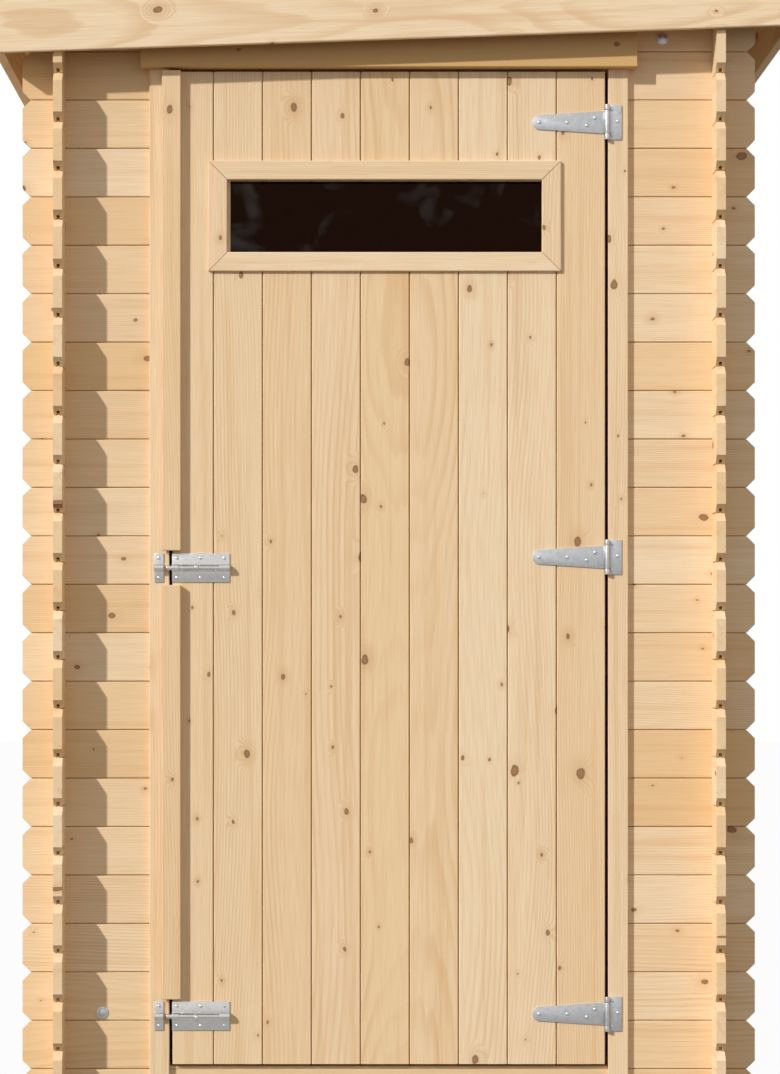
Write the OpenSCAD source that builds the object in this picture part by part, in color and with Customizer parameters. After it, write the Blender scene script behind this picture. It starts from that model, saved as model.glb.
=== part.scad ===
// Small log-board garden shed with one ledged door, a slim glazed light in the door and a low pent roof.
// Millimetres. +Z is up, the front faces -Y, and the origin is on the ground at the middle of the walls.
// The roof falls gently from the right wall (+X) to the left wall (-X).

/* [Walls] */
// Length of the front and back boards, from tip to tip
wall_w = 1300; // [1280:10:1700]
// Length of the side boards, from tip to tip
wall_d = 980; // [800:10:1600]
// Thickness of a wall board
log_t = 16; // [14:1:22]
// Height that one wall board covers
log_h = 86; // [70:1:120]
// How far a board runs past the wall it crosses
tip = 60; // [45:1:80]
// Corner cut on the ends of the boards
tip_cut = 15; // [6:1:20]
// How far the side wall seams sit above those of the front wall
stagger = 38.5; // [36:0.5:46]

/* [Door] */
// Width of the door leaf
door_w = 768; // [640:1:860]
// Height of the door leaf
door_h = 1758; // [1480:1:2100]
// Thickness of the door boards
door_t = 16; // [14:1:22]
// Running gap round the door leaf
door_gap = 5; // [4:0.5:8]
// Height of the strip that lies on the sill board
threshold_h = 5; // [3:1:10]
// Thickness of the ledges behind the door boards
ledge_t = 22; // [16:1:30]
// Height of each ledge
ledge_h = 80; // [60:1:100]
// How far each ledge stops short of the edge of the leaf
ledge_inset = 32; // [10:1:60]
// How far the door opens, in degrees
door_open = 160; // [90:1:160]

/* [Door light] */
// Distance from the closing edge of the leaf to the mitred frame
light_left = 64; // [50:0.5:120]
// Distance from the hinged edge of the leaf to the mitred frame
light_right = 79; // [50:0.5:120]
// Overall height of the mitred frame
light_h = 196; // [150:1:300]
// Width of each frame bar
light_bar = 34; // [25:1:45]
// Thickness of the frame bars on the outside
light_face_t = 6; // [4:1:20]
// Thickness of the frame bars on the inside
light_bar_t = 16; // [10:1:20]
// Thickness of the clear sheet
glass_t = 4; // [2:0.5:6]
// How far the clear sheet is held under the bars
glass_hold = 10; // [6:1:18]
// Distance from the top of the leaf down to the frame
light_down = 158; // [140:1:220]

/* [Trims] */
// Thickness of the jamb trims and the fascia boards
trim_t = 10; // [8:1:14]
// Width of each jamb trim
jamb_w = 35; // [30:1:50]
// Thickness of the boards that line the doorway
lining_t = 16; // [12:1:22]
// Depth of the boards that line the doorway
lining_d = 40; // [34:1:60]
// Thickness of the head trim over the door
header_t = 30; // [20:1:40]
// Height of the head trim over the door
header_h = 80; // [60:1:90]
// How far the head trim runs past the jamb trims
header_over = 14.5; // [0:0.5:30]
// Width of the cover strip on the closing edge of the door
strip_w = 33; // [26:1:45]
// Thickness of the cover strip
strip_t = 14; // [10:1:18]
// How far the cover strip stands past the closing edge of the leaf
strip_lap = 17; // [12:1:24]

/* [Roof] */
// Slope of the roof, in degrees
roof_slope = 1.975; // [0:0.005:6]
// Height from the head trim's underside to the top of the low wall
over_door = 95; // [84:1:160]
// Height of the fascia and eave boards
fascia_h = 92; // [70:1:120]
// Thickness of the eave boards along the two sides
eave_t = 16; // [12:1:22]
// How far the roof runs past the board tips on the low side
low_overhang = 42; // [30:1:100]
// How far the roof runs past the board tips on the high side
high_overhang = 65; // [30:1:100]
// Thickness of the roof boards
deck_t = 16; // [12:1:22]
// Thickness of the roofing felt
felt_t = 2.5; // [1.5:0.5:4]
// Width of a roof purlin
purlin_w = 34; // [25:1:50]
// Height of a roof purlin
purlin_h = 60; // [40:1:70]
// Distance from the middle of the roof to each purlin
purlin_x = 195; // [120:1:260]

/* [Floor] */
// Thickness of the floor boards
floor_t = 16; // [12:1:22]
// Width of a floor joist
joist_w = 45; // [35:1:70]
// Distance from the middle joist to the outer ones
joist_pitch = 360; // [200:1:400]

/* [Storm battens] */
// Width of the upright battens inside the front wall
batten_w = 45; // [30:1:60]
// Thickness of the battens
batten_t = 20; // [14:1:22]
// Distance from the low side wall to the middle of its batten
batten_low_in = 66; // [40:1:90]
// Distance from the high side wall to the middle of its batten
batten_high_in = 88; // [40:1:90]
// Radius of the dome head of a batten bolt
bolt_head_r = 10.5; // [7:0.5:12]
// Height of the dome head of a batten bolt
bolt_head_h = 4; // [3:0.5:6]
// Radius of the shank of a batten bolt
bolt_shank_r = 3; // [2.5:0.5:4]

/* [Hinges] */
// Thickness of the hinge plates
plate_t = 2; // [1.5:0.5:3]
// Height of the fixed leaf of a hinge
leaf_h = 61.5; // [50:0.5:80]
// Width of the fixed leaf from the pin outwards
leaf_w = 26; // [20:1:32]
// Length of the strap from the pin to its round tip
strap_l = 132; // [100:1:180]
// Height of the strap at the pin
strap_wide = 41; // [30:1:50]
// Height of the strap at its round tip
strap_tip = 25.6; // [16:0.2:30]
// Radius of the hinge knuckle
knuckle_r = 4.5; // [4:0.5:6]
// Radius of the hinge pin
pin_r = 2.5; // [2:0.5:3]
// Height of the middle hinge above the foot of the leaf
mid_hinge_up = 898; // [700:1:1200]

/* [Barrel bolts] */
// Length of the bolt plate
bolt_plate_l = 102; // [80:1:120]
// Height of the bolt plate and of the keeper
bolt_plate_h = 51; // [40:1:60]
// Width of the keeper
keeper_w = 16; // [12:1:24]
// Radius of the sliding rod
rod_r = 4; // [3:0.5:5]
// Clearance round the sliding rod
rod_gap = 0.4; // [0.3:0.1:1.5]
// Length of the sliding rod
rod_l = 111; // [90:1:130]
// Travel of the sliding rod
rod_travel = 42; // [36:1:50]
// Wall of the raised barrel
barrel_wall = 2.5; // [1.5:0.5:4]
// Height of the upper bolt above the foot of the leaf
upper_bolt_up = 879; // [600:1:1100]
// Height of the lower bolt above the foot of the leaf
lower_bolt_up = 85.5; // [70:0.5:160]

/* [Hidden] */
$fn = 48;

WOOD = "#e2c193";
SHADED_WOOD = "#c79c68";
FELT = "#33353a";
ZINC = "#b9bcbe";
GLASS = [0.12, 0.09, 0.08, 0.45];

far = 5000;                 // longer than any piece, for cutting
fit = 0.05;                 // radial clearance of a hinge pin in its knuckle

// Walls
side_x = wall_w / 2 - tip;          // outer face of the side walls
front_y = -(wall_d / 2 - tip);      // outer face of the front wall
room_x = side_x - log_t;            // inner face of the side walls
room_y = -front_y - log_t;          // inner face of the back wall
sill_h = log_h / 2;                 // the front and back walls start with a half board
neck = log_h / 4;                   // the half-lapped corner joints change over at each quarter board

// Door
door_front = front_y - trim_t;      // the leaf and the trims share one front plane
door_back = door_front + door_t;
door_z0 = sill_h + threshold_h + door_gap;
door_z1 = door_z0 + door_h;
jamb_x = door_w / 2 + door_gap;     // inner edge of the jamb trims and linings
opening_x = jamb_x + lining_t;      // edge of the cut through the front wall
header_z = door_z1 + door_gap;
opening_z = header_z + lining_t;
head_seam = sill_h + log_h * ceil((opening_z - sill_h) / log_h);

// Roof
roof_rise = tan(roof_slope);
low_wall_h = header_z + over_door;
roof_x0 = -wall_w / 2 - low_overhang;
roof_x1 = wall_w / 2 + high_overhang;
roof_y = wall_d / 2;                // the fascia boards are nailed to the board tips
roof_bed = 0.2;                     // gap between sloping faces that lie on each other
function deck_under(x) = low_wall_h + (x + side_x) * roof_rise;
function fascia_under(x) = deck_under(x) + deck_t - fascia_h;

// Door light
light_w = door_w - light_left - light_right;
light_x = (light_left - light_right) / 2;
light_z = door_z1 - light_down - light_h / 2;

// Hinges
hinge_x = door_w / 2 + door_gap / 2;
knuckle_gap = 0.5;                  // clearance round and between the knuckles
hinge_y = door_front - knuckle_r - knuckle_gap;
top_hinge_z = door_z1 - 90;
middle_hinge_z = door_z0 + mid_hinge_up;
bottom_hinge_z = door_z0 + 89;
HINGE_HEIGHTS = [top_hinge_z, middle_hinge_z, bottom_hinge_z];

// Barrel bolts
bolt_x0 = -door_w / 2;              // closing end of the bolt plate
keeper_x = -jamb_x - 10;            // edge of the keeper beside the leaf
rod_shot_x = keeper_x - keeper_w - 4;   // tip of the rod when it is shot
rod_rest_x = keeper_x + door_gap;       // tip at rest, drawn just clear of the keeper so that the door can swing
rod_y = door_front - plate_t - rod_gap - rod_r - 1;
barrel_r = rod_r + rod_gap + barrel_wall;
knob_back = 54;                     // distance from the tip of the rod to its knob
knob_r = 3;
upper_bolt_z = door_z0 + upper_bolt_up;
lower_bolt_z = door_z0 + lower_bolt_up;
strip_clear = 5;                    // gap between a cover strip and a bolt plate or keeper

// Storm battens
batten_low_x = -room_x + batten_low_in;
batten_high_x = room_x - batten_high_in;
batten_foot = floor_t + 50;
BATTEN_BOLTS = [
    [batten_low_x, door_z0 + 90],
    [batten_low_x, low_wall_h - 48],
    [batten_high_x, low_wall_h - 39]
];

// ---------- shared shapes ----------

// One end of a stack of boards: the points of its cut corners from the lowest seam to the highest.
function tip_points(half, first, top, side) = [
    for (k = [-1 : ceil((top - first) / log_h)])
        let (z0 = first + k * log_h, z1 = z0 + log_h)
        each [
            [side * (half - tip_cut), z0],
            [side * half, z0 + tip_cut],
            [side * half, z1 - tip_cut]
        ]
];
function reversed(list) = [for (i = [len(list) - 1 : -1 : 0]) list[i]];

// Face of a stack of boards, drawn in a plane whose second axis is the height.
module board_stack(half, first, top) {
    polygon(concat(tip_points(half, first, top, 1), reversed(tip_points(half, first, top, -1))));
}

// Everything under the roof boards and above the ground.
module under_roof() {
    rotate([90, 0, 0]) linear_extrude(far, center = true)
        polygon([
            [-far, 0], [far, 0],
            [far, deck_under(far) - roof_bed], [-far, deck_under(-far) - roof_bed]
        ]);
}

// The necks by which one wall passes through the other at the four corners.
// phase 0 gives those of the front and back walls, phase 1 those of the side walls.
module corner_necks(phase) {
    for (x = [-1, 1], y = [-1, 1], k = [0 : ceil(far / 2 / log_h)])
        translate([
            x > 0 ? room_x : -side_x,
            y > 0 ? room_y : front_y,
            (4 * k + 2 * phase - 1) * neck
        ])
            cube([log_t, log_t, 2 * neck]);
}

// A front or back wall, with its outer face at y0.
module long_wall(y0) {
    difference() {
        intersection() {
            translate([0, y0 + log_t, 0]) rotate([90, 0, 0]) linear_extrude(log_t)
                board_stack(wall_w / 2, sill_h, deck_under(side_x) + log_h);
            under_roof();
        }
        corner_necks(1);
        purlin_bars(2 * roof_y);
    }
}

// A side wall, with its left face at x0.
module side_wall(x0) {
    difference() {
        intersection() {
            translate([x0, 0, 0]) rotate([90, 0, 90]) linear_extrude(log_t)
                board_stack(wall_d / 2, 2 * neck + stagger, deck_under(side_x) + log_h);
            under_roof();
        }
        corner_necks(0);
    }
}

// The part of the front wall that lies inside its children, with its bolt holes.
module front_wall_part() {
    color(WOOD) difference() {
        intersection() {
            long_wall(front_y);
            union() children();
        }
        batten_bolt_holes();
    }
}

// A block that reaches right through the front wall.
module wall_block(x0, x1, z0, z1) translate([x0, -far / 2, z0]) cube([x1 - x0, far, z1 - z0]);

module batten_bolt_holes() {
    for (b = BATTEN_BOLTS)
        translate([b[0], front_y + 1, b[1]]) rotate([90, 0, 0])
            cylinder(r = bolt_shank_r + 0.5, h = 2 * (log_t + batten_t) + 2, center = true);
}

// ---------- walls ----------

module front_sill_board() front_wall_part() wall_block(-far, far, 0, sill_h);
module front_wall_left() front_wall_part() wall_block(-far, -opening_x, sill_h, head_seam);
module front_wall_right() front_wall_part() wall_block(opening_x, far, sill_h, head_seam);

// The boards over the doorway, with the strip of board left above the lining.
module front_wall_head() {
    front_wall_part() {
        wall_block(-far, far, head_seam, far);
        wall_block(-opening_x, opening_x, opening_z, head_seam + 1);
    }
}

module back_wall() color(WOOD) long_wall(room_y);
module left_wall() color(WOOD) side_wall(-side_x);
module right_wall() color(WOOD) side_wall(room_x);

// ---------- doorway ----------

module jamb_trim(side) {
    color(WOOD) translate([side > 0 ? jamb_x : -jamb_x - jamb_w, door_front, 0])
        cube([jamb_w, trim_t, header_z]);
}

module head_trim() {
    half = jamb_x + jamb_w + header_over;
    color(WOOD) translate([-half, front_y - header_t, header_z]) cube([2 * half, header_t, header_h]);
}

module door_lining(side) {
    color(WOOD) translate([side > 0 ? jamb_x : -opening_x, front_y, sill_h])
        cube([lining_t, lining_d, header_z - sill_h]);
}

module head_door_lining() {
    color(WOOD) translate([-opening_x, front_y, header_z]) cube([2 * opening_x, lining_d, lining_t]);
}

module threshold_strip() {
    color(WOOD) translate([-jamb_x, front_y, sill_h]) cube([2 * jamb_x, log_t, threshold_h]);
}

// ---------- floor ----------

module floor_boards() {
    color(WOOD) translate([-room_x, -room_y, sill_h - floor_t]) cube([2 * room_x, 2 * room_y, floor_t]);
}

module floor_joists() {
    for (y = [-joist_pitch, 0, joist_pitch])
        color(SHADED_WOOD) translate([-room_x, y - joist_w / 2, 0])
            cube([2 * room_x, joist_w, sill_h - floor_t]);
}

// ---------- roof ----------

// The solid between two lines parallel to the roof slope, from low to high above the deck's underside.
module roof_slice(x0, x1, y0, y1, low, high) {
    translate([0, y1, 0]) rotate([90, 0, 0]) linear_extrude(y1 - y0)
        polygon([
            [x0, deck_under(x0) + low], [x1, deck_under(x1) + low],
            [x1, deck_under(x1) + high], [x0, deck_under(x0) + high]
        ]);
}

module purlin_bars(length) {
    for (x = [-purlin_x, purlin_x])
        roof_slice(x - purlin_w / 2, x + purlin_w / 2, -length / 2, length / 2, -purlin_h, -roof_bed);
}

module roof_purlins() color(WOOD) purlin_bars(-2 * front_y);

module roof_deck() {
    color(WOOD) roof_slice(roof_x0 + eave_t, roof_x1 - eave_t, -roof_y, roof_y, 0, deck_t);
}

module roof_felt() {
    color(FELT) roof_slice(
        roof_x0, roof_x1, -roof_y - trim_t, roof_y + trim_t,
        deck_t + roof_bed, deck_t + roof_bed + felt_t
    );
}

module front_fascia() {
    color(WOOD) roof_slice(roof_x0, roof_x1, -roof_y - trim_t, -roof_y, deck_t - fascia_h, deck_t);
}

module back_fascia() {
    color(WOOD) roof_slice(roof_x0, roof_x1, roof_y, roof_y + trim_t, deck_t - fascia_h, deck_t);
}

module eave_board(x0) {
    color(WOOD) roof_slice(x0, x0 + eave_t, -roof_y, roof_y, deck_t - fascia_h, deck_t);
}

// ---------- storm battens ----------

module storm_batten(x, foot) {
    color(WOOD) difference() {
        translate([x - batten_w / 2, front_y + log_t, foot])
            cube([batten_w, batten_t, low_wall_h - 18 - foot]);
        batten_bolt_holes();
    }
}

module batten_bolts() {
    for (b = BATTEN_BOLTS)
        color(ZINC) translate([b[0], front_y, b[1]]) rotate([90, 0, 0]) {
            cylinder(r1 = bolt_head_r, r2 = bolt_head_r - 3, h = bolt_head_h);
            translate([0, 0, -log_t - batten_t - 6]) cylinder(r = bolt_shank_r, h = log_t + batten_t + 7);
            translate([0, 0, -log_t - batten_t - 5]) cylinder(r = 6, h = 5, $fn = 6);
        }
}

// ---------- door ----------

module light_opening(grow) {
    translate([
        light_x - light_w / 2 + light_bar - grow,
        door_front - far / 2,
        light_z - light_h / 2 + light_bar - grow
    ])
        cube([light_w - 2 * light_bar + 2 * grow, far, light_h - 2 * light_bar + 2 * grow]);
}

module door_boards() {
    color(WOOD) difference() {
        translate([-door_w / 2, door_front, door_z0]) cube([door_w, door_t, door_h]);
        light_opening(0);
    }
}

module door_ledges() {
    half = door_w / 2 - ledge_inset;
    for (z = HINGE_HEIGHTS)
        color(WOOD) translate([-half, door_back, z - ledge_h / 2]) cube([2 * half, ledge_t, ledge_h]);
}

// The strip is rebated behind so that it stays clear of the jamb trim that it covers.
module cover_strip(z0, z1) {
    x0 = -door_w / 2 - strip_lap;
    color(WOOD) difference() {
        translate([x0, door_front - strip_t, z0]) cube([strip_w, strip_t, z1 - z0]);
        translate([x0 - 1, door_front - door_gap, z0 - 1]) cube([strip_lap + 1, door_gap + 1, z1 - z0 + 2]);
    }
}

// Four mitred bars round the light, from y0 to y0 + thick.
module light_bars(y0, thick) {
    w = light_w / 2;
    h = light_h / 2;
    color(WOOD) translate([light_x, y0 + thick, light_z]) rotate([90, 0, 0])
        for (side = [-1, 1]) {
            linear_extrude(thick) polygon([
                [-w, side * h], [w, side * h],
                [w - light_bar, side * (h - light_bar)], [-w + light_bar, side * (h - light_bar)]
            ]);
            linear_extrude(thick) polygon([
                [side * w, -h], [side * w, h],
                [side * (w - light_bar), h - light_bar], [side * (w - light_bar), -h + light_bar]
            ]);
        }
}

module light_glass() {
    color(GLASS) intersection() {
        light_opening(glass_hold);
        translate([-far / 2, door_back, -far / 2]) cube([far, glass_t, far]);
    }
}

module light_frame_inside() {
    difference() {
        light_bars(door_back, light_bar_t);
        light_glass();
    }
}

// ---------- hinges ----------

// The fixed leaf lies on the right jamb trim and carries the pin and the two outer knuckles.
module hinge_leaf(z) {
    outer = (leaf_h - strap_wide) / 2 - knuckle_gap;
    color(ZINC) translate([hinge_x, 0, z]) {
        translate([knuckle_r + knuckle_gap, door_front - plate_t, -leaf_h / 2])
            cube([leaf_w - knuckle_r - knuckle_gap, plate_t, leaf_h]);
        for (side = [-1, 1]) {
            z0 = side > 0 ? leaf_h / 2 - outer : -leaf_h / 2;
            translate([0, hinge_y, z0]) cylinder(r = knuckle_r, h = outer);
            translate([0, door_front - plate_t, z0]) cube([knuckle_r + knuckle_gap + 1, plate_t, outer]);
        }
        translate([0, hinge_y, -leaf_h / 2]) cylinder(r = pin_r, h = leaf_h);
    }
}

// The strap lies on the door boards and turns on the pin.
module hinge_strap(z) {
    tip_r = strap_tip / 2;
    color(ZINC) translate([hinge_x, 0, z]) difference() {
        union() {
            translate([0, door_front, 0]) rotate([90, 0, 0]) {
                linear_extrude(plate_t) polygon([
                    [-strap_l + tip_r, -tip_r], [-2, -strap_wide / 2],
                    [-2, strap_wide / 2], [-strap_l + tip_r, tip_r]
                ]);
                translate([-strap_l + tip_r, 0, 0]) cylinder(r = tip_r, h = plate_t);
            }
            translate([0, hinge_y, -strap_wide / 2]) cylinder(r = knuckle_r, h = strap_wide);
        }
        translate([0, hinge_y, -strap_wide / 2 - 1]) cylinder(r = pin_r + fit, h = strap_wide + 2);
    }
}

// ---------- barrel bolts ----------

// A plate with a raised barrel along X, bored for the rod.
module barrel(x0, length, z) {
    color(ZINC) difference() {
        translate([x0, 0, z]) {
            translate([0, door_front - plate_t, -bolt_plate_h / 2]) cube([length, plate_t, bolt_plate_h]);
            translate([0, rod_y, 0]) rotate([0, 90, 0]) cylinder(r = barrel_r, h = length);
            translate([0, rod_y, -barrel_r]) cube([length, door_front - rod_y, 2 * barrel_r]);
        }
        translate([x0 - 1, rod_y, z]) rotate([0, 90, 0]) cylinder(r = rod_r + rod_gap, h = length + 2);
    }
}

module bolt_keeper(z) barrel(keeper_x - keeper_w, keeper_w, z);

// The knob of the rod runs in a slot along the front of the barrel.
module bolt_plate(z) {
    difference() {
        barrel(bolt_x0, bolt_plate_l, z);
        translate([rod_shot_x + knob_back - knob_r - 4, rod_y - barrel_r - 1, z - knob_r - rod_gap])
            cube([rod_travel + 2 * knob_r + 8, barrel_r + 1, 2 * (knob_r + rod_gap)]);
    }
}

module bolt_rod(z) {
    color(ZINC) translate([0, rod_y, z]) {
        translate([rod_rest_x, 0, 0]) rotate([0, 90, 0]) cylinder(r = rod_r, h = rod_l);
        translate([rod_rest_x + knob_back, 0, 0]) rotate([90, 0, 0]) cylinder(r = knob_r, h = barrel_r + 5);
        translate([rod_rest_x + knob_back, -barrel_r - 5, 0]) sphere(r = knob_r + 1.5);
    }
}

// ---------- nodes ----------

front_sill_board();
front_wall_left();
front_wall_right();
front_wall_head();
back_wall();
left_wall();
right_wall();
jamb_trim(-1);  // left_jamb_trim
jamb_trim(1);  // right_jamb_trim
head_trim();
door_lining(-1);  // left_door_lining
door_lining(1);  // right_door_lining
head_door_lining();
threshold_strip();
floor_boards();
floor_joists();
roof_purlins();
roof_deck();
roof_felt();
front_fascia();
back_fascia();
eave_board(roof_x0);  // left_eave_board
eave_board(roof_x1 - eave_t);  // right_eave_board
storm_batten(batten_low_x, batten_foot);  // left_storm_batten
storm_batten(batten_high_x, batten_foot);  // right_storm_batten
batten_bolts();
door_boards();
door_ledges();
cover_strip(upper_bolt_z + bolt_plate_h / 2 + strip_clear, door_z1);  // upper_cover_strip
cover_strip(lower_bolt_z + bolt_plate_h / 2 + strip_clear, upper_bolt_z - bolt_plate_h / 2 - strip_clear);  // lower_cover_strip
light_bars(door_front - light_face_t, light_face_t);  // light_frame_outside
light_frame_inside();
light_glass();
hinge_leaf(top_hinge_z);  // top_hinge_leaf
hinge_leaf(middle_hinge_z);  // middle_hinge_leaf
hinge_leaf(bottom_hinge_z);  // bottom_hinge_leaf
hinge_strap(top_hinge_z);  // top_hinge_strap
hinge_strap(middle_hinge_z);  // middle_hinge_strap
hinge_strap(bottom_hinge_z);  // bottom_hinge_strap
bolt_keeper(upper_bolt_z);  // upper_bolt_keeper
bolt_keeper(lower_bolt_z);  // lower_bolt_keeper
bolt_plate(upper_bolt_z);  // upper_bolt_plate
bolt_plate(lower_bolt_z);  // lower_bolt_plate
bolt_rod(upper_bolt_z);  // upper_bolt_rod
bolt_rod(lower_bolt_z);  // lower_bolt_rod
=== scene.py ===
"""Looks of a small timber garden shed: boards, door, ironmongery and roof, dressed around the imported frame.

Units are metres. +Z is up, the door faces -Y, and the roof falls towards -X. Every piece is made of bmesh
boards or plates that take their place from the frame's own nodes.
"""

import logging
import math
import random
from dataclasses import dataclass, field
from enum import Enum
from typing import Iterable, Optional, Sequence

import bmesh
import bpy
from mathutils import Matrix, Vector


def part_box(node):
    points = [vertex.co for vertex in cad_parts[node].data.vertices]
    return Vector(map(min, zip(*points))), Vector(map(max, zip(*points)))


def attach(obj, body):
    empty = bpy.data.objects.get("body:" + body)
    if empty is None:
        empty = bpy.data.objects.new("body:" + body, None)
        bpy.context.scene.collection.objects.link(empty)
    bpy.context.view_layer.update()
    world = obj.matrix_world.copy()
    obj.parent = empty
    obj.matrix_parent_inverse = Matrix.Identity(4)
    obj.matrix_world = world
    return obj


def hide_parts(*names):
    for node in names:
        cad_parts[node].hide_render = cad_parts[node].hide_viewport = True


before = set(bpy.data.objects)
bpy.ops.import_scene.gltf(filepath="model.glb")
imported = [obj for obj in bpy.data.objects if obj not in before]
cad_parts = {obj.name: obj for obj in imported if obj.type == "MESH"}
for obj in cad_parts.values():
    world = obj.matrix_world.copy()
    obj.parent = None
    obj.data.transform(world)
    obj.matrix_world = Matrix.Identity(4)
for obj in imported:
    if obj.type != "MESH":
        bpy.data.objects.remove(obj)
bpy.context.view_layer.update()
LOG = logging.getLogger("garden_shed")
MM = 0.001

Mesh = bmesh.types.BMesh
Tree = bpy.types.NodeTree
Socket = bpy.types.NodeSocket
Colour = tuple[float, float, float, float]
Pair = tuple[float, float]
Cut = tuple[Vector, Vector]
Place = tuple[Vector, float]


class Lay(Enum):
    """How a board lies: the world axes of its length, its face width and its thickness."""

    FRONT = ("X", "Z", "Y")
    SIDE = ("Y", "Z", "X")
    UPRIGHT = ("Z", "X", "Y")
    UPRIGHT_SIDE = ("Z", "Y", "X")
    FLOOR = ("Y", "X", "Z")
    DECK = ("X", "Y", "Z")

    def matrix(self) -> Matrix:
        """Returns the matrix from board space (length, width, thickness) to the shed's frame."""
        turned = Matrix.Identity(4)
        for column, axis in enumerate(self.value):
            for row, name in enumerate("XYZ"):
                turned[row][column] = 1.0 if axis == name else 0.0
        return turned


class Slot(Enum):
    """The record's material slots."""

    SPRUCE = "planed_spruce"
    JOIST = "treated_joists"
    FELT = "roofing_felt"
    GALVANISED = "galvanised_steel"
    BRIGHT = "bright_zinc_steel"
    GLAZING = "glazing"


# ---------------------------------------------------------------- finishes


def linear(hex_colour: str) -> Colour:
    """Turns an sRGB hex colour to linear.

    Args:
        hex_colour: six hex digits, such as "e2c193".

    Returns:
        Red, green, blue and an alpha of 1, for a colour socket.
    """
    channels = [int(hex_colour[i:i + 2], 16) / 255 for i in (0, 2, 4)]
    values = [c / 12.92 if c <= 0.04045 else ((c + 0.055) / 1.055) ** 2.4 for c in channels]
    return (values[0], values[1], values[2], 1.0)


def add_node(tree: Tree, kind: str, inputs: Optional[dict] = None, **settings: object) -> bpy.types.Node:
    """Adds a node with its settings and links.

    Args:
        tree: the material's or world's node tree.
        kind: the node's bl_idname, without its prefix.
        inputs: sockets by name or index, each with a value or the output socket that feeds it.
        settings: the node's own properties.

    Returns:
        The new node.
    """
    node = tree.nodes.new(f"ShaderNode{kind}")
    for name, value in settings.items():
        setattr(node, name, value)
    for name, value in (inputs or {}).items():
        if isinstance(value, Socket):
            tree.links.new(value, node.inputs[name])
        else:
            node.inputs[name].default_value = value
    return node


def maths(tree: Tree, operation: str, a: object, b: object = 0.0) -> Socket:
    """Returns the result of one sum on two values or sockets."""
    return add_node(tree, "Math", {0: a, 1: b}, operation=operation).outputs[0]


def object_place(tree: Tree) -> Socket:
    """Returns the place on the piece, in the shed's frame."""
    return add_node(tree, "TexCoord").outputs["Object"]


def set_ramp(node: bpy.types.Node, stops: Sequence[tuple[float, Colour]]) -> None:
    """Gives a colour ramp its stops.

    Args:
        node: the colour ramp node.
        stops: pairs of a position and a linear colour, from low to high.
    """
    elements = node.color_ramp.elements
    while len(elements) < len(stops):
        elements.new(0.5)
    for element, (position, colour) in zip(elements, stops):
        element.position = position
        element.color = colour


def new_material(name: str) -> tuple[bpy.types.Material, Tree, bpy.types.Node]:
    """Returns a new material with its tree and its linked Principled shader."""
    material = bpy.data.materials.new(name)
    material.use_nodes = True
    tree = material.node_tree
    tree.nodes.clear()
    shader = add_node(tree, "BsdfPrincipled")
    add_node(tree, "OutputMaterial", {"Surface": shader.outputs["BSDF"]})
    return material, tree, shader


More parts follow.
